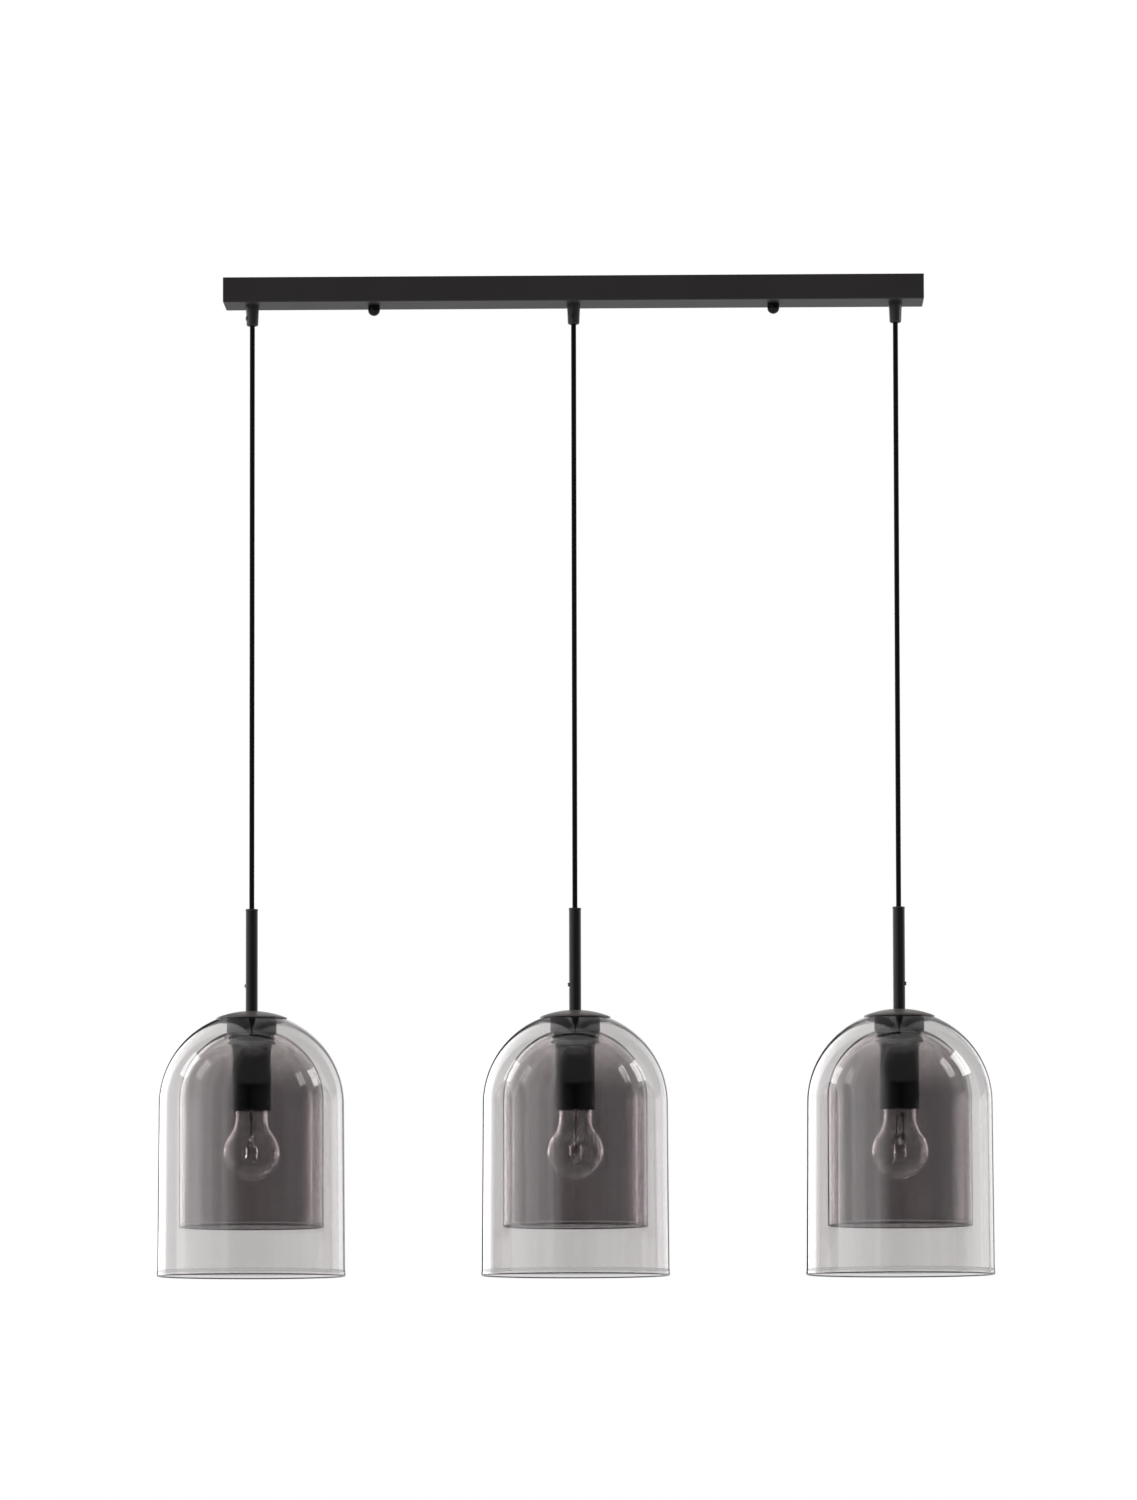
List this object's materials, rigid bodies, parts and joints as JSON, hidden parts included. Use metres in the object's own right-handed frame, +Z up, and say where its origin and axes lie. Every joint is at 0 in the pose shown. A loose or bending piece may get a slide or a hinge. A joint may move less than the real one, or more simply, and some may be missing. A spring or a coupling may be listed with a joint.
{
  "type": "linear island pendant light",
  "caption": "Ceiling bar light with glass shades that hang in line on cords, each a smoke glass bell inside a larger one.",
  "frame": {"origin": "centre of the ceiling plane, on the back face of the ceiling bracket", "axes": "+Z up, out of the ceiling face; +X along the canopy bar, to the right seen from the front; +Y towards the back"},
  "size_m": [0.8322, 0.1882, 0.9976],
  "materials": {
    "black_powder_coat": "satin black powder coat on steel",
    "satin_black_metal": "satin black paint on turned and spun metal",
    "black_nickel": "glossy black plate",
    "zinc_steel": "bright zinc",
    "black_nylon": "moulded black nylon",
    "white_plastic": "moulded off-white plastic",
    "black_cord": "smooth black sheath",
    "black_rubber": "black silicone rubber",
    "smoke_glass": "pale smoke glass, polished",
    "dark_smoke_glass": "smoke glass, polished",
    "clear_glass": "clear bulb glass",
    "capsule_glass": "clear quartz with metal foils",
    "porcelain": "glazed",
    "brass": "bright",
    "bulb_aluminium": "bright"
  },
  "bodies": {
    "canopy": {"canopy_cover": "black_powder_coat", "ceiling_bracket": "zinc_steel", "bracket_studs": "zinc_steel", "cap_nuts": "black_nickel", "cord_grips": "black_nylon", "grip_nuts": "black_nylon", "grip_screws": "black_nylon", "terminal_box": "white_plastic", "cord_leads": "black_cord"},
    "cord_flex_1": {"cord_flex_1": "black_cord"},
    "pendant_1": {"cord_1": "black_cord", "stem_1": "satin_black_metal", "stem_bush_1": "black_nylon", "stem_screw_1": "satin_black_metal", "nipple_1": "zinc_steel", "dome_cap_1": "satin_black_metal", "outer_glass_1": "smoke_glass", "glass_seals_1": "black_rubber", "inner_glass_1": "dark_smoke_glass", "clamp_plate_1": "satin_black_metal", "holder_sleeve_1": "satin_black_metal", "socket_insert_1": "porcelain", "screw_shell_1": "brass"},
    "bulb_1": {"bulb_glass_1": "clear_glass", "bulb_cap_1": "bulb_aluminium", "bulb_capsule_1": "capsule_glass"},
    "cord_flex_2": {"cord_flex_2": "black_cord"},
    "pendant_2": {"cord_2": "black_cord", "stem_2": "satin_black_metal", "stem_bush_2": "black_nylon", "stem_screw_2": "satin_black_metal", "nipple_2": "zinc_steel", "dome_cap_2": "satin_black_metal", "outer_glass_2": "smoke_glass", "glass_seals_2": "black_rubber", "inner_glass_2": "dark_smoke_glass", "clamp_plate_2": "satin_black_metal", "holder_sleeve_2": "satin_black_metal", "socket_insert_2": "porcelain", "screw_shell_2": "brass"},
    "bulb_2": {"bulb_glass_2": "clear_glass", "bulb_cap_2": "bulb_aluminium", "bulb_capsule_2": "capsule_glass"},
    "cord_flex_3": {"cord_flex_3": "black_cord"},
    "pendant_3": {"cord_3": "black_cord", "stem_3": "satin_black_metal", "stem_bush_3": "black_nylon", "stem_screw_3": "satin_black_metal", "nipple_3": "zinc_steel", "dome_cap_3": "satin_black_metal", "outer_glass_3": "smoke_glass", "glass_seals_3": "black_rubber", "inner_glass_3": "dark_smoke_glass", "clamp_plate_3": "satin_black_metal", "holder_sleeve_3": "satin_black_metal", "socket_insert_3": "porcelain", "screw_shell_3": "brass"},
    "bulb_3": {"bulb_glass_3": "clear_glass", "bulb_cap_3": "bulb_aluminium", "bulb_capsule_3": "capsule_glass"}
  },
  "joints": [
    {"name": "pendant_1_fore_aft_swing", "type": "hinge", "parent": "canopy", "child": "cord_flex_1", "pos_m": [-0.322, 0, -0.0478], "axis": [1, 0, 0], "range_deg": [-30, 30]},
    {"name": "pendant_1_side_swing", "type": "hinge", "parent": "cord_flex_1", "child": "pendant_1", "pos_m": [-0.322, 0, -0.0558], "axis": [0, 1, 0], "range_deg": [-4, 4]},
    {"name": "bulb_1_removal", "type": "slide", "parent": "pendant_1", "child": "bulb_1", "axis": [0, 0, -1], "range_m": [0, 0.2]},
    {"name": "pendant_2_fore_aft_swing", "type": "hinge", "parent": "canopy", "child": "cord_flex_2", "pos_m": [0, 0, -0.0478], "axis": [1, 0, 0], "range_deg": [-30, 30]},
    {"name": "pendant_2_side_swing", "type": "hinge", "parent": "cord_flex_2", "child": "pendant_2", "pos_m": [0, 0, -0.0558], "axis": [0, 1, 0], "range_deg": [-4, 4]},
    {"name": "bulb_2_removal", "type": "slide", "parent": "pendant_2", "child": "bulb_2", "axis": [0, 0, -1], "range_m": [0, 0.2]},
    {"name": "pendant_3_fore_aft_swing", "type": "hinge", "parent": "canopy", "child": "cord_flex_3", "pos_m": [0.322, 0, -0.0478], "axis": [1, 0, 0], "range_deg": [-30, 30]},
    {"name": "pendant_3_side_swing", "type": "hinge", "parent": "cord_flex_3", "child": "pendant_3", "pos_m": [0.322, 0, -0.0558], "axis": [0, 1, 0], "range_deg": [-4, 4]},
    {"name": "bulb_3_removal", "type": "slide", "parent": "pendant_3", "child": "bulb_3", "axis": [0, 0, -1], "range_m": [0, 0.2]}
  ]
}
